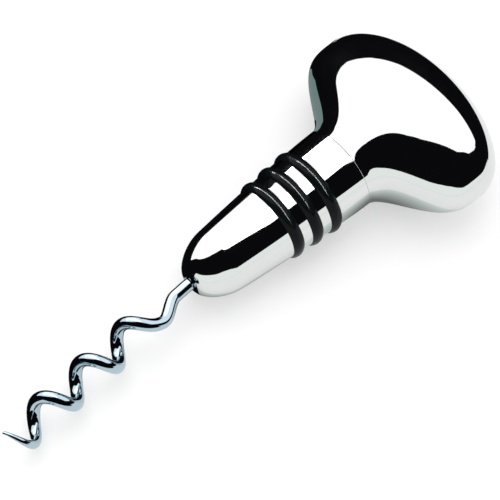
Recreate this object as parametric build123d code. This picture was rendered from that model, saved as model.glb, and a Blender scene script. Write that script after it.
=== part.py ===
"""Straight-pull corkscrew: palm grip, bullet barrel with three rubber rings, and a wire worm.

Every piece is drawn along +X, with x = 0 at the face of the nose and the grip at +X.
The finished set is then tipped to the way it lies on a table: on its grip and its worm.
"""
import math
import os

from build123d import *

# Worm
WIRE_D = 3.2
WORM_OD = 10.0
WORM_PITCH = 13.3
WORM_REACH = 57.8          # nose face to point
WORM_STRAIGHT = 4.7        # straight shank in front of the nose
WORM_SWING = 7.0           # length in which the wire swings out from the axis
WIND_START = 9.9           # where the wire begins to turn about the axis
WIND_EASE = 8.9            # length in which it reaches its full pitch
WORM_LEAN = 4.3            # sideways lean of the helix, towards -Y
LEAN_BEND = 2.0            # length of the bend in front of the nose
WORM_PHASE = 109.5         # angle of the point about the axis, from -Y towards +Z
POINT_D = 0.7
POINT_TAPER = 10.0         # axial length of the ground taper
STATIONS_PER_TURN = 10

# Barrel
NOSE_FACE_R = 2.4
NOSE_LENGTH = 9.5
NOSE_R = 8.65              # radius where the nose runs into the flank
SEAM_X = 48.1
SEAM_R = 11.3
FLANK_BIAS = 1.45          # 1 is a straight cone, above 1 the flank bulges
FLANK_STATIONS = 8
NOSE_HOLE_CLEARANCE = 0.25
NOSE_CHAMFER = 0.45

# Rubber rings
CORD_D = 4.0
RING_X = 26.2              # front ring
RING_STEP = 5.75
RING_PROUD = 0.8
RING_NAMES = ("front", "middle", "rear")

# Grip
GRIP_HALF_WIDTH = 28.1
GRIP_HALF_THICK = 13.8
GRIP_SHOULDER = 22.5       # seam to widest place
GRIP_DOME = 15.6           # widest place to the end
SHOULDER_BIAS = 1.9        # above 1 the flare starts early
SHOULDER_EASE = 1.4        # above 1 it leaves the neck softly
SHOULDER_STATIONS = 9
DOME_STATIONS = 9
REST_FLAT = 0.3            # depth of the flat under the grip, on which the tool lies still

# Inside
HOLDER_WALL = 2.3          # barrel between the bush and the front groove
HOLDER_NOSE = 12.3         # bush in front of its screws
SHANK_END_GAP = 2.0        # shank ends this far before the back of the bush
WASHER_RIM = 0.2           # washer smaller than the spigot, on the radius
WASHER_T = 1.9
SPIGOT_WALL = 2.1          # barrel between the spigot and the rear groove
SPIGOT_NOSE = 3.4          # spigot in front of its screws
SCREW_D = 3.0
SCREW_SOCKET_D = 1.5
SCREW_SOCKET_DEPTH = 1.4
SCREW_COVER = 0.1          # screw head below the ground of the groove
DIMPLE = 0.8               # depth of the screw seats in the spigot
WORM_SCREWS = 2
BARREL_SCREWS = 3

# Fits
FIT = 0.05                 # sliding fits, on the radius
SEAT = 0.03                # end faces and ring seats
THREAD_FIT = 0.02


def barrel_radius(x):
    """Radius of the barrel behind the nose; the flank runs level into the seam."""
    left = (SEAM_X - x) / (SEAM_X - NOSE_LENGTH)
    return SEAM_R - (SEAM_R - NOSE_R) * left ** FLANK_BIAS


def ring_x(index):
    return RING_X + index * RING_STEP


def ring_centre_r(index):
    return barrel_radius(ring_x(index)) + RING_PROUD - CORD_D / 2


def groove_floor_r(index):
    return ring_centre_r(index) - CORD_D / 2 - SEAT


HOLDER_R = groove_floor_r(0) - HOLDER_WALL
SPIGOT_R = groove_floor_r(2) - SPIGOT_WALL
WASHER_R = SPIGOT_R - WASHER_RIM
SPIGOT_X = ring_x(2) - SPIGOT_NOSE
WASHER_X = SPIGOT_X - SEAT - WASHER_T
HOLDER_X = ring_x(0) - HOLDER_NOSE
HOLDER_BACK = WASHER_X - SEAT
SHANK_END = HOLDER_BACK - SHANK_END_GAP


def rod(radius, x0, x1):
    """Cylinder on the X axis."""
    return Plane.YZ.offset(x0) * extrude(Circle(radius), x1 - x0)


def radial_rod(radius, x, angle, r0, r1):
    """Cylinder that points away from the axis at one angle."""
    post = Pos(0, 0, (r0 + r1) / 2) * Cylinder(radius, r1 - r0)
    return Pos(x, 0, 0) * (Rot(angle, 0, 0) * post)


def torus_at(index, cord_r):
    return Pos(ring_x(index), 0, 0) * (Rot(0, 90, 0) * Torus(ring_centre_r(index), cord_r))


def screw_angles(count, first):
    return [first + 360.0 / count * i for i in range(count)]


WORM_SCREW_ANGLES = screw_angles(WORM_SCREWS, 0.0)
BARREL_SCREW_ANGLES = screw_angles(BARREL_SCREWS, 0.0)


def smooth(u):
    """S curve from 0 to 1, level at both ends."""
    u = min(max(u, 0.0), 1.0)
    return u * u * (3.0 - 2.0 * u)


def eased(run, ease):
    """Run that starts level and has its full slope after the ease."""
    run = max(0.0, run)
    bend = min(run, ease)
    return bend * bend / (2 * ease) + run - bend


def wire_radius(x):
    """Full wire, ground down to the point at the front."""
    ground = min(1.0, (x + WORM_REACH) / POINT_TAPER)
    return POINT_D / 2 + (WIRE_D - POINT_D) / 2 * math.sin(ground * math.pi / 2)


def worm_point(x):
    """Centre of the wire at one place along the axis; the ground point keeps to the outside."""
    r = (WORM_OD / 2 - wire_radius(x)) * smooth((-WORM_STRAIGHT - x) / WORM_SWING)
    wound = eased(WORM_REACH - WIND_START, WIND_EASE) - eased(-x - WIND_START, WIND_EASE)
    turn = math.radians(WORM_PHASE - 360.0 * wound / WORM_PITCH)
    lean = math.tan(math.radians(WORM_LEAN)) * eased(-x, LEAN_BEND)
    return Vector(x, -r * math.cos(turn) - lean, r * math.sin(turn))


def build_worm():
    count = round(WORM_REACH / WORM_PITCH * STATIONS_PER_TURN)
    step = WORM_REACH / count
    side = Vector(0, 0, 1)
    sections = []
    for i in range(count + 1):
        x = -WORM_REACH + i * step
        along = (worm_point(x + step / 50) - worm_point(x - step / 50)).normalized()
        side = (side - along * side.dot(along)).normalized()
        sections.append(Plane(worm_point(x), x_dir=side, z_dir=along) * Circle(wire_radius(x)))
    return loft(sections) + rod(WIRE_D / 2, 0, SHANK_END)


def build_barrel():
    slope = FLANK_BIAS * (SEAM_R - NOSE_R) / (SEAM_X - NOSE_LENGTH)
    reach = NOSE_LENGTH / 2
    nose = Bezier((0, NOSE_FACE_R), (NOSE_LENGTH / 45, NOSE_FACE_R * 2),
                  (NOSE_LENGTH - reach, NOSE_R - reach * slope), (NOSE_LENGTH, NOSE_R))
    back = SEAM_X - SEAT
    step = (back - NOSE_LENGTH) / FLANK_STATIONS
    stations = [NOSE_LENGTH + step * i for i in range(FLANK_STATIONS + 1)]
    flank = Spline([(x, barrel_radius(x)) for x in stations], tangents=[(1, slope), (1, 0)])
    rest = Polyline((back, barrel_radius(back)), (back, 0), (0, 0), (0, NOSE_FACE_R))
    body = revolve(make_face(nose + flank + rest), Axis.X)
    hole_r = WIRE_D / 2 + NOSE_HOLE_CLEARANCE
    body -= rod(hole_r, 0, HOLDER_X)
    body -= Pos(NOSE_CHAMFER / 2, 0, 0) * (Rot(0, 90, 0) * Cone(hole_r + NOSE_CHAMFER, hole_r, NOSE_CHAMFER))
    body -= rod(HOLDER_R + FIT, HOLDER_X - SEAT, WASHER_X)
    body -= rod(SPIGOT_R + FIT, WASHER_X - SEAT, SEAM_X)
    for i in range(len(RING_NAMES)):
        body -= torus_at(i, CORD_D / 2 + SEAT)
    hole = SCREW_D / 2 + THREAD_FIT
    for angle in WORM_SCREW_ANGLES:
        body -= radial_rod(hole, ring_x(0), angle, 0, ring_centre_r(0))
    for angle in BARREL_SCREW_ANGLES:
        body -= radial_rod(hole, ring_x(2), angle, 0, ring_centre_r(2))
    return body


def grip_section(x, half_width, half_thick):
    return Plane.YZ.offset(x) * Ellipse(half_width, half_thick)


def build_handle():
    sections = []
    for i in range(SHOULDER_STATIONS):
        u = i / SHOULDER_STATIONS
        wide = smooth(1.0 - (1.0 - u) ** SHOULDER_BIAS) ** SHOULDER_EASE
        thick = smooth(u)
        sections.append(grip_section(SEAM_X + GRIP_SHOULDER * u,
                                     SEAM_R + (GRIP_HALF_WIDTH - SEAM_R) * wide,
                                     SEAM_R + (GRIP_HALF_THICK - SEAM_R) * thick))
    for i in range(DOME_STATIONS):
        angle = math.radians(88.0) * i / (DOME_STATIONS - 1)
        sections.append(grip_section(SEAM_X + GRIP_SHOULDER + GRIP_DOME * math.sin(angle),
                                     GRIP_HALF_WIDTH * math.cos(angle),
                                     GRIP_HALF_THICK * math.cos(angle)))
    grip = loft(sections) + rod(SPIGOT_R, SPIGOT_X, SEAM_X + SPIGOT_R)
    for angle in BARREL_SCREW_ANGLES:
        grip -= radial_rod(SCREW_D / 2 + THREAD_FIT, ring_x(2), angle, SPIGOT_R - DIMPLE, SEAM_R)
    return grip


def build_holder():
    bush = rod(HOLDER_R, HOLDER_X, HOLDER_BACK)
    bush -= rod(WIRE_D / 2 + FIT, HOLDER_X, HOLDER_BACK)
    for angle in WORM_SCREW_ANGLES:
        bush -= radial_rod(SCREW_D / 2 + THREAD_FIT, ring_x(0), angle, 0, HOLDER_R + FIT)
    return bush


def build_screw(x, angle, r0, r1):
    screw = radial_rod(SCREW_D / 2, x, angle, r0, r1)
    depth = min(SCREW_SOCKET_DEPTH, (r1 - r0) / 2)
    socket = Pos(0, 0, r1 - depth) * extrude(RegularPolygon(SCREW_SOCKET_D / 2, 6), depth)
    return screw - Pos(x, 0, 0) * (Rot(angle, 0, 0) * socket)


def build_worm_screws():
    return [build_screw(ring_x(0), angle, WIRE_D / 2 + SEAT, groove_floor_r(0) - SCREW_COVER)
            for angle in WORM_SCREW_ANGLES]


def build_barrel_screws():
    return [build_screw(ring_x(2), angle, SPIGOT_R - DIMPLE + SEAT, groove_floor_r(2) - SCREW_COVER)
            for angle in BARREL_SCREW_ANGLES]


def lowest(shape, tip):
    return (Rot(0, tip, 0) * shape).bounding_box().min.Z


def rest_tip(grip, others):
    """Angle at which the flat of the grip and the lowest of the other pieces lie on the table together."""
    low, high = -15.0, 15.0
    for _ in range(30):
        mid = (low + high) / 2
        if min(lowest(shape, mid) for shape in others) > lowest(grip, mid) + REST_FLAT:
            high = mid
        else:
            low = mid
    return (low + high) / 2


def main():
    handle = build_handle()
    worm = build_worm()
    nodes = {
        "handle": handle,
        "barrel": build_barrel(),
        "worm": worm,
        "worm_holder": build_holder(),
        "thrust_washer": rod(WASHER_R, WASHER_X, WASHER_X + WASHER_T),
        "worm_set_screws": Compound(build_worm_screws()),
        "barrel_set_screws": Compound(build_barrel_screws()),
    }
    rings = [torus_at(i, CORD_D / 2) for i in range(len(RING_NAMES))]
    for name, ring in zip(RING_NAMES, rings):
        nodes["o_ring_" + name] = ring

    angle = rest_tip(handle, [worm] + rings)
    nodes = {name: Rot(0, angle, 0) * shape for name, shape in nodes.items()}
    table = lowest(handle, angle) + REST_FLAT
    slab = Box(4 * GRIP_HALF_WIDTH, 4 * GRIP_HALF_WIDTH, GRIP_HALF_THICK)
    nodes["handle"] -= Pos(SEAM_X + GRIP_SHOULDER, 0, table - GRIP_HALF_THICK / 2) * slab

    boxes = [shape.bounding_box() for shape in nodes.values()]
    x_mid = (min(b.min.X for b in boxes) + max(b.max.X for b in boxes)) / 2
    os.makedirs("parts", exist_ok=True)
    for name, shape in nodes.items():
        export_step(Pos(-x_mid, 0, -table) * shape, "parts/" + name + ".step")


main()
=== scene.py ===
"""Looks of the corkscrew: mirror-plated grip and barrel, bright wire worm, black rubber rings.

The visible pieces are drawn again as fine meshes, because plating shows every facet. They are drawn
along +X with x = 0 at the face of the nose, in metres, and then laid where the frame's rings are.
"""
import math

import bpy
from mathutils import Matrix, Vector


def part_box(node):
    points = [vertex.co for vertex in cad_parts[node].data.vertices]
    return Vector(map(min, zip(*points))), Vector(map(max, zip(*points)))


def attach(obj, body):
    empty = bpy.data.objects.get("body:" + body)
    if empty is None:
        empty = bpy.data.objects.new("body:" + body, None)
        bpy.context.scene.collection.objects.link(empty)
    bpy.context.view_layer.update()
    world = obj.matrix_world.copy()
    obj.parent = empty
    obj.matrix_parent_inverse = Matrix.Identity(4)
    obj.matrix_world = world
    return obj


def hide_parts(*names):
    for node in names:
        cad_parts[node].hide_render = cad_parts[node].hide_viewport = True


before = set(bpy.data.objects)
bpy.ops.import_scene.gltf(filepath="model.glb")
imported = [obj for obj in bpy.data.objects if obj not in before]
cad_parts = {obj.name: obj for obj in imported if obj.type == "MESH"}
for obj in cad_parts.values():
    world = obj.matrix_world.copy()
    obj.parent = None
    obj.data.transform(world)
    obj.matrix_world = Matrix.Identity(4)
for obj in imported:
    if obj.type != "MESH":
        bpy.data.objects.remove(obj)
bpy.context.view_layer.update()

MM = 0.001

# Worm
WIRE_D = 3.2 * MM
WORM_OD = 10.0 * MM
WORM_PITCH = 13.3 * MM
WORM_REACH = 57.8 * MM
WORM_STRAIGHT = 4.7 * MM
WORM_SWING = 7.0 * MM
WORM_PHASE = 109.5
WIND_START = 9.9 * MM
WIND_EASE = 8.9 * MM
WORM_LEAN = 4.3
LEAN_BEND = 2.0 * MM
POINT_D = 0.7 * MM
POINT_TAPER = 10.0 * MM

# Barrel
NOSE_FACE_R = 2.4 * MM
NOSE_LENGTH = 9.5 * MM
NOSE_R = 8.65 * MM
NOSE_EDGE = NOSE_LENGTH / 45
SEAM_X = 48.1 * MM
SEAM_R = 11.3 * MM
FLANK_BIAS = 1.45
SEAM_EDGE = 0.05 * MM
NOSE_HOLE_R = 1.85 * MM
NOSE_CHAMFER = 0.45 * MM
HOLDER_NOSE = 12.3 * MM
HOLDER_BORE_R = 4.65 * MM
SOCKET_R = 5.62 * MM

# Rings
CORD_D = 4.0 * MM
RING_X = 26.2 * MM
RING_STEP = 5.75 * MM
RING_PROUD = 0.8 * MM
RING_NAMES = ("front", "middle", "rear")
RING_PIECES = ["rubber_ring_" + name for name in RING_NAMES]
SEAT = 0.03 * MM
PARTING_LINE = 0.012 * MM

# Grip
GRIP_HALF_WIDTH = 28.1 * MM
GRIP_HALF_THICK = 13.8 * MM
GRIP_SHOULDER = 22.5 * MM
GRIP_DOME = 15.6 * MM
SHOULDER_BIAS = 1.9
SHOULDER_EASE = 1.4
SPIGOT_NOSE = 3.4 * MM
SPIGOT_R = 5.57 * MM
WASHER_SPACE = 2.0 * MM
SHANK_END_GAP = 2.0 * MM
HOLDER_X = RING_X - HOLDER_NOSE
SPIGOT_X = RING_X + 2 * RING_STEP - SPIGOT_NOSE
SOCKET_X = SPIGOT_X - WASHER_SPACE
SHANK_END = SOCKET_X - SHANK_END_GAP

# Fineness of the meshes
AROUND = 192
AROUND_WIRE = 32
AROUND_CORD = 48
SHARP_EDGE = 35.0
PARTING_EDGE = 60.0

# Finishes: darker and paler tint, range of roughness, stretch of the polishing hairlines
CHROME_TINTS = ((0.67, 0.69, 0.68), (0.70, 0.72, 0.71))
CHROME_HAZE = (0.015, 0.04)
GRIP_GRAIN = (1, 6, 6)
BARREL_GRAIN = (8, 1, 1)
WORM_TINTS = ((0.38, 0.49, 0.56), (0.44, 0.54, 0.60))
WORM_HAZE = (0.03, 0.06)
WORM_GRAIN = (1, 4, 4)
STEEL_TINTS = ((0.42, 0.42, 0.43), (0.6, 0.6, 0.61))
STEEL_HAZE = (0.25, 0.4)
STEEL_GRAIN = (8, 1, 1)
RUBBER_TINTS = ((0.002, 0.003, 0.0035), (0.004, 0.006, 0.007))
RUBBER_HAZE = (0.13, 0.17)
RUBBER_SHINE = 0.08
PAPER_TINTS = ((0.54, 0.54, 0.54), (0.56, 0.56, 0.56))
PAPER_ROUGHNESS = 0.9

# View: the tool seen from above its worm side, with a long lens
VIEW_AZIMUTH = -41.1
VIEW_ELEVATION = 63.5
VIEW_ROLL = 0.33
LENS = 135.0
SENSOR = 36.0
PICTURE_WIDTH = 120.0 * MM
AIM_RIGHT = 14.4 * MM
AIM_UP = 8.05 * MM

# Levels of white; the inner half of a painted shadow on the table is evenly dark
WORLD_LIGHT = 0.95
WORLD_SEEN = 1.0
PAPER_GLOW = 0.42
PANEL_LEVEL = 1.5
BOARD_LEVEL = 1.1
SHADE_RIM = 0.92
SHADE_MIDDLE = 0.2
SHADE_INNER = 0.5

# Tints of the cards
WHITE = (1.0, 1.0, 1.0)
BLACK = (0.004, 0.004, 0.005)
PALE = (0.97, 1.0, 0.98)
GREY = (0.21, 0.29, 0.28)
SHADE_TINT = (0.90, 0.96, 0.94)

FLOOR_HALF = 3.0
ROOM_R = 1.4

# Large cards, in metres to the right, ahead and up as the camera looks. Most edges of the cards were worked
# out from borders between bright and dark in the photo, mirrored by the plating; the rest are given one by
# one.
PANEL_FRONT = (
    (-0.573, 0.153, 0.812), (-0.055, 0.085, 0.778), (0.03, 0.022, 0.816), (0.128, -0.017, 0.831),
    (0.276, -0.041, 0.825), (0.401, -0.07, 0.827), (0.575, -0.129, 0.846), (0.697, -0.139, 0.833),
    (0.813, -0.123, 0.80))
PANEL_SIDE = ((0.904, 0.079, 0.616), (0.912, 0.21, 0.505), (0.87, 0.45, 0.313))
PANEL_BACK = ((0.66, 0.74, 0.108), (-0.426, 0.971, 0.108))
BACKDROP = (
    (-0.763, 0.19, 0.06), (-0.3, 0.95, 0.06), (-0.3, 0.95, 0.9), (-0.897, -0.031, 0.9),
    (-0.897, -0.031, 0.63), (-0.809, 0.1137, 0.33))
SIDE_BOARD = (
    (1.2, -0.6, 0.0), (1.2, -0.6, 0.28), (1.25, -0.3, 0.2), (1.28, 0.0, 0.12),
    (1.28, 0.2, 0.05), (1.28, 0.2, 0.0))

# Level card over the left side: right and ahead
SIDE_PANEL_UP = 0.5
SIDE_PANEL = (
    (-0.05, 0.0), (-0.152, -0.046), (-0.321, -0.084), (-0.494, -0.078), (-0.714, -0.025),
    (-0.911, 0.064), (-0.9, 0.4), (-0.05, 0.05))

# Upright board in front of the tool: right and up
BOARD_AHEAD = -0.6
BOARD = (
    (-1.0, 0.0), (-1.0, 0.29), (0.0, 0.27), (0.16, 0.315), (0.35, 0.33), (0.5, 0.30),
    (0.72, 0.25), (1.2, 0.28), (1.2, 0.0))

# Upright flags behind the barrel and the grip, that meet in a corner: right and up, then ahead and up
FLAG_RIGHT = -0.012
FLAG_AHEAD = 0.085
FLAG = (
    (FLAG_RIGHT, 0.0), (0.35, 0.0), (0.35, 0.2), (0.303, 0.164), (0.227, 0.111), (0.159, 0.084),
    (0.116, 0.069), (0.075, 0.06), (0.047, 0.0545), (0.025, 0.0545), (0.014, 0.049),
    (0.007, 0.047), (-0.004, 0.05), (FLAG_RIGHT, 0.053))
SIDE_FLAG = (
    (FLAG_AHEAD, 0.0), (FLAG_AHEAD, 0.053), (0.077, 0.0495), (0.07, 0.0475), (0.0587, 0.0488),
    (0.045, 0.049), (0.045, 0.0))

# Cards just over the table, by x and y of the row frame
SHADE_Z = 0.3 * MM
TABLE_FLAG_Z = 0.4 * MM
TABLE_GREY_Z = 0.6 * MM
TABLE_FLAG = ((-1.2, -0.002), (0.066, -0.002), (0.072, 0.10), (0.3, 1.2), (-1.2, 1.2))
TABLE_GREY = (
    (0.044, 0.019), (0.04, 0.024), (0.0375, 0.0275), (0.0335, 0.035), (0.0285, 0.044),
    (0.0225, 0.056), (0.014, 0.070), (0.001, 0.092), (0.012, 0.097), (0.025, 0.073),
    (0.032, 0.061), (0.037, 0.053), (0.042, 0.048), (0.047, 0.046), (0.051, 0.038),
    (0.052, 0.025), (0.049, 0.017))
GRIP_SHADE_AT = (0.046, 0.0)
GRIP_SHADE_RADII = (0.033, 0.031)
BARREL_SHADE_AT = (0.008, 0.0)
BARREL_SHADE_RADII = (0.036, 0.0125)

# Lamps: length and width in metres, watts, place to the right, ahead and up as the camera looks
KEY_SIZE = (0.8, 0.6)
KEY_WATTS = 2.2
KEY_AT = (0.0, 0.25, 0.7)
RING_STRIP_SIZE = (1.6, 0.02)
RING_STRIP_WATTS = 26.0
RING_STRIP_UP = 0.3
RING_STRIP_ASIDE = 0.1
BARREL_STRIP_SIZE = (0.12, 0.07)
BARREL_STRIP_WATTS = 0.08
BARREL_STRIP_AT = (0.04, 0.012, 0.2)
BARREL_STRIP_ALONG = (0.068, -0.035, 0.0)
WORM_STRIP_SIZE = (1.1, 0.8)
WORM_STRIP_WATTS = 3.8
WORM_STRIP_AT = (-0.1, 0.35, 0.53)
NECK_STRIP_SIZE = (0.10, 0.03)
NECK_STRIP_WATTS = 0.04
NECK_STRIP_AT = (-0.025, 0.08, 0.051)


def smooth(u):
    u = min(max(u, 0.0), 1.0)
    return u * u * (3.0 - 2.0 * u)


def turns(count):
    """Angles of equal steps around a circle."""
    return [2 * math.pi * i / count for i in range(count)]


def middle(node):
    low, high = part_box(node)
    return (low + high) / 2


def lay_out():
    """Matrix from the drawing to the row frame, from the places of the first and last ring."""
    front, rear = middle("o_ring_front"), middle("o_ring_rear")
    along = (rear - front).normalized()
    side = Vector((0, 1, 0))
    up = along.cross(side)
    origin = front - along * RING_X
    return Matrix.Translation(origin) @ Matrix((along, side, up)).transposed().to_4x4()


PLACE = lay_out()


def add(name, data):
    obj = bpy.data.objects.new(name, data)
    bpy.context.scene.collection.objects.link(obj)
    return obj


def add_mesh(name, verts, faces, material):
    mesh = bpy.data.meshes.new(name)
    mesh.from_pydata(verts, [], faces)
    mesh.materials.append(material)
    return add(name, mesh)


def piece(name, verts, faces, material, nodes, sharp=SHARP_EDGE):
    """Piece of the tool, laid on the table; what would dip into the table is flat, as under the grip."""
    laid = [PLACE @ Vector(v) for v in verts]
    for v in laid:
        v.z = max(v.z, 0.0)
    obj = add_mesh(name, laid, faces, material)
    obj.data.shade_smooth()
    obj.data.set_sharp_from_angle(angle=math.radians(sharp))
    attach(obj, "root")
    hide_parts(*nodes)
    return obj


def skin(rings, closed=False):
    """Quads between rings of equal length; open ends get one face each."""
    count = len(rings[0])
    verts = [p for ring in rings for p in ring]
    faces = []
    rows = len(rings)
    for i in range(rows if closed else rows - 1):
        a, b = i * count, (i + 1) % rows * count
        for j in range(count):
            k = (j + 1) % count
            faces.append((a + j, b + j, b + k, a + k))
    if not closed:
        faces.append(tuple(range(count)))
        faces.append(tuple(reversed(range((rows - 1) * count, rows * count))))
    return verts, faces


def oval(x, half_y, half_z):
    return [(x, -half_y * math.cos(t), half_z * math.sin(t)) for t in turns(AROUND)]


def barrel_radius(x):
    left = (SEAM_X - x) / (SEAM_X - NOSE_LENGTH)
    return SEAM_R - (SEAM_R - NOSE_R) * left ** FLANK_BIAS


def ring_x(index):
    return RING_X + index * RING_STEP


def ring_centre_r(index):
    return barrel_radius(ring_x(index)) + RING_PROUD - CORD_D / 2


def nose_profile(steps=40):
    """Blunt bullet nose, a Bezier curve that runs tangent into the flank."""
    slope = FLANK_BIAS * (SEAM_R - NOSE_R) / (SEAM_X - NOSE_LENGTH)
    reach = NOSE_LENGTH / 2
    p = ((0, NOSE_FACE_R), (NOSE_EDGE, NOSE_FACE_R * 2),
         (NOSE_LENGTH - reach, NOSE_R - reach * slope), (NOSE_LENGTH, NOSE_R))
    points = []
    for i in range(steps + 1):
        t = i / steps
        w = ((1 - t) ** 3, 3 * t * (1 - t) ** 2, 3 * t * t * (1 - t), t ** 3)
        points.append((sum(a * q[0] for a, q in zip(w, p)), sum(a * q[1] for a, q in zip(w, p))))
    return points


def groove_profile(index, steps=24):
    """Round ring groove, from land to land."""
    r = CORD_D / 2 + SEAT
    half = math.sqrt(r * r - (CORD_D / 2 - RING_PROUD) ** 2)
    ends = []
    for side in (-1, 1):
        rise = barrel_radius(ring_x(index) + side * half) - ring_centre_r(index)
        ends.append(side * (math.pi / 2 + math.asin(rise / r)))
    points = []
    for i in range(steps + 1):
        a = ends[0] + (ends[1] - ends[0]) * i / steps
        points.append((ring_x(index) + r * math.sin(a), ring_centre_r(index) - r * math.cos(a)))
    return points


def flank_profile(start, end, steps=16):
    """Flank between two places, without its ends."""
    places = [start + (end - start) * i / steps for i in range(1, steps)]
    return [(x, barrel_radius(x)) for x in places]


def make_barrel(material):
    profile = [(NOSE_CHAMFER, NOSE_HOLE_R), (0, NOSE_HOLE_R + NOSE_CHAMFER)] + nose_profile()
    for i in range(len(RING_NAMES)):
        groove = groove_profile(i)
        profile += flank_profile(profile[-1][0], groove[0][0]) + groove
    back = SEAM_X - SEAT
    edge = back - SEAM_EDGE
    profile += flank_profile(profile[-1][0], edge)
    profile += [(edge, barrel_radius(edge)), (back, barrel_radius(back) - SEAM_EDGE)]
    profile += [(back, SOCKET_R), (SOCKET_X, SOCKET_R)]
    profile += [(SOCKET_X, HOLDER_BORE_R), (HOLDER_X, HOLDER_BORE_R), (HOLDER_X, NOSE_HOLE_R)]
    verts, faces = skin([oval(x, r, r) for x, r in profile], closed=True)
    return piece("barrel_shell", verts, faces, material, ["barrel"])


def make_grip(material, shoulder_steps=72, dome_steps=64):
    rings = [oval(SPIGOT_X, SPIGOT_R, SPIGOT_R), oval(SEAM_X, SPIGOT_R, SPIGOT_R),
             oval(SEAM_X, SEAM_R - SEAM_EDGE, SEAM_R - SEAM_EDGE)]
    for i in range(shoulder_steps):
        u = max(i / shoulder_steps, SEAM_EDGE / GRIP_SHOULDER)
        wide = smooth(1.0 - (1.0 - u) ** SHOULDER_BIAS) ** SHOULDER_EASE
        rings.append(oval(SEAM_X + GRIP_SHOULDER * u,
                          SEAM_R + (GRIP_HALF_WIDTH - SEAM_R) * wide,
                          SEAM_R + (GRIP_HALF_THICK - SEAM_R) * smooth(u)))
    for i in range(dome_steps):
        a = math.pi / 2 * i / dome_steps
        rings.append(oval(SEAM_X + GRIP_SHOULDER + GRIP_DOME * math.sin(a),
                          GRIP_HALF_WIDTH * math.cos(a), GRIP_HALF_THICK * math.cos(a)))
    verts, faces = skin(rings)
    return piece("palm_grip", verts, faces, material, ["handle"])


def make_ring(index, material):
    """Rubber ring with a fine parting line on its outside."""
    rings = []
    for i, a in enumerate(turns(AROUND_CORD)):
        r = CORD_D / 2 + (PARTING_LINE if i == AROUND_CORD // 4 else 0)
        out = ring_centre_r(index) + r * math.sin(a)
        rings.append(oval(ring_x(index) + r * math.cos(a), out, out))
    verts, faces = skin(rings, closed=True)
    node = "o_ring_" + RING_NAMES[index]
    return piece(RING_PIECES[index], verts, faces, material, [node], PARTING_EDGE)


def eased(run, ease):
    """Run that starts level and has its full slope after the ease."""
    run = max(0.0, run)
    bend = min(run, ease)
    return bend * bend / (2 * ease) + run - bend


def wire_radius(x):
    ground = min(1.0, (x + WORM_REACH) / POINT_TAPER)
    return POINT_D / 2 + (WIRE_D - POINT_D) / 2 * math.sin(ground * math.pi / 2)


def worm_point(x):
    r = (WORM_OD / 2 - wire_radius(x)) * smooth((-WORM_STRAIGHT - x) / WORM_SWING)
    wound = eased(WORM_REACH - WIND_START, WIND_EASE) - eased(-x - WIND_START, WIND_EASE)
    turn = math.radians(WORM_PHASE - 360.0 * wound / WORM_PITCH)
    lean = math.tan(math.radians(WORM_LEAN)) * eased(-x, LEAN_BEND)
    return Vector((x, -r * math.cos(turn) - lean, r * math.sin(turn)))


def make_worm(material, steps=420):
    rings = []
    side = Vector((0, 0, 1))
    near = WIRE_D / 50
    for i in range(steps + 1):
        x = -WORM_REACH + (WORM_REACH + SHANK_END) * i / steps
        along = (worm_point(x + near) - worm_point(x - near)).normalized()
        side = (side - along * side.dot(along)).normalized()
        other = along.cross(side)
        centre, r = worm_point(x), wire_radius(x)
        rings.append([centre + side * (r * math.cos(t)) - other * (r * math.sin(t))
                      for t in turns(AROUND_WIRE)])
    verts, faces = skin(rings)
    return piece("wire_worm", verts, faces, material, ["worm"])


def node_material(name):
    material = bpy.data.materials.new(name)
    material.use_nodes = True
    tree = material.node_tree
    return material, tree, tree.nodes["Principled BSDF"]


def noise(tree, scale, detail=3.0, stretch=(1, 1, 1)):
    """Noise in object space; the stretch draws it out into hairlines."""
    place = tree.nodes.new("ShaderNodeTexCoord")
    mapping = tree.nodes.new("ShaderNodeMapping")
    mapping.inputs["Scale"].default_value = stretch
    texture = tree.nodes.new("ShaderNodeTexNoise")
    texture.inputs["Scale"].default_value = scale
    texture.inputs["Detail"].default_value = detail
    tree.links.new(place.outputs["Object"], mapping.inputs["Vector"])
    tree.links.new(mapping.outputs["Vector"], texture.inputs["Vector"])
    return texture.outputs["Fac"]


def spread(tree, value, low, high, start=0.35, end=0.65):
    """Value drawn out between low and high; noise has most of its values between the default ends."""
    node = tree.nodes.new("ShaderNodeMapRange")
    node.inputs["From Min"].default_value = start
    node.inputs["From Max"].default_value = end
    node.inputs["To Min"].default_value = low
    node.inputs["To Max"].default_value = high
    tree.links.new(value, node.inputs["Value"])
    return node.outputs["Result"]


def tint(tree, shader, value, tints):
    node = tree.nodes.new("ShaderNodeMix")
    node.data_type = "RGBA"
    node.inputs["A"].default_value = (*tints[0], 1.0)
    node.inputs["B"].default_value = (*tints[1], 1.0)
    tree.links.new(value, node.inputs["Factor"])
    tree.links.new(node.outputs["Result"], shader.inputs["Base Color"])


def roughen(tree, shader, value, haze):
    tree.links.new(spread(tree, value, *haze), shader.inputs["Roughness"])


def bump(tree, shader, value, strength, distance):
    node = tree.nodes.new("ShaderNodeBump")
    node.inputs["Strength"].default_value = strength
    node.inputs["Distance"].default_value = distance
    tree.links.new(value, node.inputs["Height"])
    tree.links.new(node.outputs["Normal"], shader.inputs["Normal"])


def plated(name, tints, haze, grain):
    """Bright plating: faint tint changes, hazy finger marks, hairlines from polishing."""
    material, tree, shader = node_material(name)
    shader.inputs["Metallic"].default_value = 1.0
    tint(tree, shader, noise(tree, scale=60.0), tints)
    roughen(tree, shader, noise(tree, scale=110.0, detail=6.0), haze)
    hairlines = noise(tree, scale=900.0, detail=2.0, stretch=grain)
    bump(tree, shader, hairlines, strength=0.02, distance=0.02 * MM)
    return material


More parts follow.
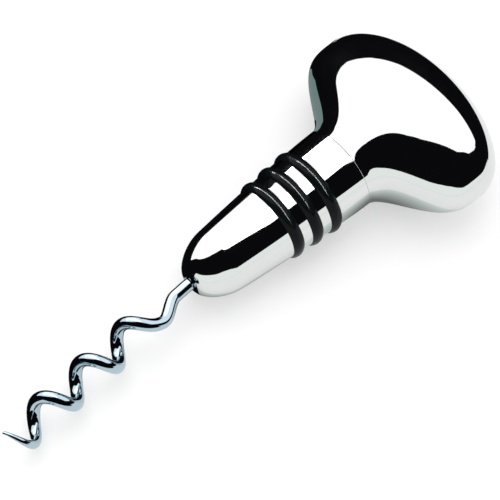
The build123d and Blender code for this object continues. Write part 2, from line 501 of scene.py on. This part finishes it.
def turned_steel():
    """Plain steel with the marks of turning, for the pieces inside."""
    material, tree, shader = node_material("turned_steel")
    shader.inputs["Metallic"].default_value = 1.0
    clouds = noise(tree, scale=400.0)
    tint(tree, shader, clouds, STEEL_TINTS)
    roughen(tree, shader, clouds, STEEL_HAZE)
    marks = noise(tree, scale=2500.0, detail=2.0, stretch=STEEL_GRAIN)
    bump(tree, shader, marks, strength=0.2, distance=0.05 * MM)
    return material


def moulded_rubber():
    """Smooth black rubber with a fine grain and a weak shine."""
    material, tree, shader = node_material("moulded_rubber")
    tint(tree, shader, noise(tree, scale=300.0), RUBBER_TINTS)
    roughen(tree, shader, noise(tree, scale=700.0, detail=5.0), RUBBER_HAZE)
    shader.inputs["Specular IOR Level"].default_value = RUBBER_SHINE
    bump(tree, shader, noise(tree, scale=5000.0), strength=0.04, distance=0.04 * MM)
    return material


def dress_inner_nodes(material):
    for name in ("worm_holder", "thrust_washer", "worm_set_screws", "barrel_set_screws"):
        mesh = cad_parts[name].data
        mesh.materials.clear()
        mesh.materials.append(material)


def make_tool():
    make_grip(plated("grip_plating", CHROME_TINTS, CHROME_HAZE, GRIP_GRAIN))
    make_barrel(plated("barrel_plating", CHROME_TINTS, CHROME_HAZE, BARREL_GRAIN))
    make_worm(plated("worm_plating", WORM_TINTS, WORM_HAZE, WORM_GRAIN))
    rubber = moulded_rubber()
    for i in range(len(RING_NAMES)):
        make_ring(i, rubber)
    dress_inner_nodes(turned_steel())


def view_axes():
    """Right, up and back of the camera, in the row frame."""
    a, e = math.radians(VIEW_AZIMUTH), math.radians(VIEW_ELEVATION)
    back = Vector((math.sin(a) * math.cos(e), -math.cos(a) * math.cos(e), math.sin(e)))
    level = Vector((math.cos(a), math.sin(a), 0))
    rise = back.cross(level)
    roll = math.radians(VIEW_ROLL)
    right = level * math.cos(roll) + rise * math.sin(roll)
    up = rise * math.cos(roll) - level * math.sin(roll)
    turn = PLACE.to_3x3()
    return turn @ right, turn @ up, turn @ back


def make_camera():
    right, up, back = view_axes()
    aim = PLACE.translation + right * AIM_RIGHT + up * AIM_UP
    data = bpy.data.cameras.new("camera")
    data.lens = LENS
    data.sensor_width = SENSOR
    obj = add("camera", data)
    distance = PICTURE_WIDTH * LENS / SENSOR
    turn = Matrix((right, up, back)).transposed().to_4x4()
    obj.matrix_world = Matrix.Translation(aim + back * distance) @ turn
    bpy.context.scene.camera = obj


def seen_directly(tree):
    """1 for what the camera, metal or glass shows, 0 for the light that falls on things."""
    path = tree.nodes.new("ShaderNodeLightPath")
    seen = path.outputs["Is Camera Ray"]
    for name in ("Is Glossy Ray", "Is Transmission Ray"):
        both = tree.nodes.new("ShaderNodeMath")
        both.operation = "MAXIMUM"
        tree.links.new(seen, both.inputs[0])
        tree.links.new(path.outputs[name], both.inputs[1])
        seen = both.outputs["Value"]
    return seen


def make_world():
    world = bpy.data.worlds.new("studio")
    bpy.context.scene.world = world
    world.use_nodes = True
    tree = world.node_tree
    background = tree.nodes["Background"]
    background.inputs["Color"].default_value = (1, 1, 1, 1)
    level = spread(tree, seen_directly(tree), WORLD_LIGHT, WORLD_SEEN, 0.0, 1.0)
    tree.links.new(level, background.inputs["Strength"])


def make_floor():
    """Paper that shows white but keeps the shadow."""
    material, tree, shader = node_material("floor_paper")
    tint(tree, shader, noise(tree, scale=40.0), PAPER_TINTS)
    shader.inputs["Roughness"].default_value = PAPER_ROUGHNESS
    shader.inputs["Specular IOR Level"].default_value = 0.0
    shader.inputs["Emission Color"].default_value = (1, 1, 1, 1)
    level = spread(tree, seen_directly(tree), 0.0, PAPER_GLOW, 0.0, 1.0)
    tree.links.new(level, shader.inputs["Emission Strength"])
    h = FLOOR_HALF
    obj = add_mesh("floor", [(-h, -h, 0), (h, -h, 0), (h, h, 0), (-h, h, 0)], [(0, 1, 2, 3)], material)


def glow(name, colour, strength=1.0):
    material = bpy.data.materials.new(name)
    material.use_nodes = True
    tree = material.node_tree
    tree.nodes.clear()
    out = tree.nodes.new("ShaderNodeOutputMaterial")
    light = tree.nodes.new("ShaderNodeEmission")
    light.inputs["Color"].default_value = (*colour, 1.0)
    light.inputs["Strength"].default_value = strength
    tree.links.new(light.outputs["Emission"], out.inputs["Surface"])
    return material


def card(name, corners, faces, material):
    """A studio card that only shows as a reflection."""
    obj = add_mesh(name, corners, faces, material)
    obj.visible_camera = False
    obj.visible_diffuse = False
    obj.visible_shadow = False
    obj.visible_transmission = False
    return obj


def plate(name, corners, material):
    return card(name, corners, [tuple(range(len(corners)))], material)


def link_light(obj, names):
    """Let a card or a lamp light only the named pieces."""
    lit = bpy.data.collections.new("lit_by_" + obj.name)
    for name in names:
        lit.objects.link(bpy.data.objects[name])
    obj.light_linking.receiver_collection = lit


def at(right, ahead, up):
    """Place in the row frame, from metres to the right, ahead and up as the camera looks."""
    return Matrix.Rotation(math.radians(VIEW_AZIMUTH), 3, "Z") @ Vector((right, ahead, up))


def make_room(material, rows=13, around=48):
    """Dark dome around the stage, with an open bottom."""
    rings = []
    for i in range(rows):
        a = math.pi / 2 * i / (rows - 0.5)
        out, up = ROOM_R * math.cos(a), ROOM_R * math.sin(a)
        rings.append([(out * math.cos(t), out * math.sin(t), up) for t in turns(around)])
    verts, faces = skin(rings)
    card("room", verts, faces[:-2] + faces[-1:], material)


def make_shade(name, centre, radii, around=64):
    """Painted shadow on the table under the tool, seen only in the plating's reflections, deepest in the
    middle.
    """
    material = glow(name, SHADE_TINT)
    tree = material.node_tree
    place = tree.nodes.new("ShaderNodeTexCoord")
    ball = tree.nodes.new("ShaderNodeTexGradient")
    ball.gradient_type = "SPHERICAL"
    tree.links.new(place.outputs["Object"], ball.inputs["Vector"])
    level = spread(tree, ball.outputs["Fac"], SHADE_RIM, SHADE_MIDDLE, 0.0, SHADE_INNER)
    tree.links.new(level, tree.nodes["Emission"].inputs["Strength"])
    obj = plate(name, [(math.cos(a), math.sin(a), 0.0) for a in turns(around)], material)
    obj.location = (*centre, SHADE_Z)
    obj.scale = (*radii, 1.0)


def make_cards():
    """White cards over and behind the tool, dark room and flags, pale boards in front."""
    white = glow("panel_white", WHITE, PANEL_LEVEL)
    black = glow("flag_black", BLACK)
    pale = glow("board_pale", PALE, BOARD_LEVEL)
    make_room(black)
    plate("panel", [at(*p) for p in PANEL_FRONT + PANEL_SIDE + PANEL_BACK], white)
    plate("side_panel", [at(r, a, SIDE_PANEL_UP) for r, a in SIDE_PANEL], white)
    plate("backdrop", [at(*p) for p in BACKDROP], white)
    plate("flag", [at(r, FLAG_AHEAD, u) for r, u in FLAG], black)
    plate("side_flag", [at(FLAG_RIGHT, a, u) for a, u in SIDE_FLAG], black)
    plate("table_flag", [(x, y, TABLE_FLAG_Z) for x, y in TABLE_FLAG], black)
    grey = plate("table_grey", [(x, y, TABLE_GREY_Z) for x, y in TABLE_GREY], glow("table_grey", GREY))
    link_light(grey, ["palm_grip"])
    # Painted shadows under the grip and the barrel, which only the plating shows
    make_shade("grip_shade", GRIP_SHADE_AT, GRIP_SHADE_RADII)
    make_shade("barrel_shade", BARREL_SHADE_AT, BARREL_SHADE_RADII)
    board = plate("board", [at(r, BOARD_AHEAD, u) for r, u in BOARD], pale)
    link_light(board, ["palm_grip", "barrel_shell"] + RING_PIECES)
    plate("side_board", [at(*p) for p in SIDE_BOARD], pale)


def lamp(name, size, watts, place, along=(1, 0, 0), lights=()):
    """Rectangular lamp that faces the tool; with a list of pieces it lights only these, as a reflection."""
    light = bpy.data.lights.new(name, "AREA")
    light.shape = "RECTANGLE"
    light.size, light.size_y = size
    light.energy = watts
    obj = add(name, light)
    back = (place - middle("o_ring_middle")).normalized()
    wide = (Vector(along) - back * back.dot(Vector(along))).normalized()
    obj.matrix_world = Matrix((wide, back.cross(wide), back)).transposed().to_4x4()
    obj.matrix_world.translation = place
    if lights:
        link_light(obj, lights)
    obj.visible_glossy = bool(lights)
    obj.visible_diffuse = not lights


def over_rings():
    """Place of the strip that the tops of the rings mirror to the camera."""
    axis = PLACE.to_3x3() @ Vector((1, 0, 0))
    lean = math.asin(axis.dot(-view_axes()[2]))
    back = RING_STRIP_UP * math.tan(lean)
    return middle("o_ring_middle") + Vector((back, RING_STRIP_ASIDE, RING_STRIP_UP))


def make_lamps():
    """A key lamp for the floor, and strips that each light one kind of piece."""
    right = at(1, 0, 0)
    lamp("key", KEY_SIZE, KEY_WATTS, at(*KEY_AT))
    lamp("ring_strip", RING_STRIP_SIZE, RING_STRIP_WATTS, over_rings(), (0, 1, 0), RING_PIECES)
    lamp("barrel_strip", BARREL_STRIP_SIZE, BARREL_STRIP_WATTS, at(*BARREL_STRIP_AT),
         at(*BARREL_STRIP_ALONG), ["barrel_shell"])
    lamp("worm_strip", WORM_STRIP_SIZE, WORM_STRIP_WATTS, at(*WORM_STRIP_AT), right, ["wire_worm"])
    lamp("neck_strip", NECK_STRIP_SIZE, NECK_STRIP_WATTS, at(*NECK_STRIP_AT), right, ["barrel_shell"])


make_tool()
make_floor()
make_cards()
make_lamps()
make_world()
make_camera()
bpy.context.scene.view_settings.view_transform = "Standard"
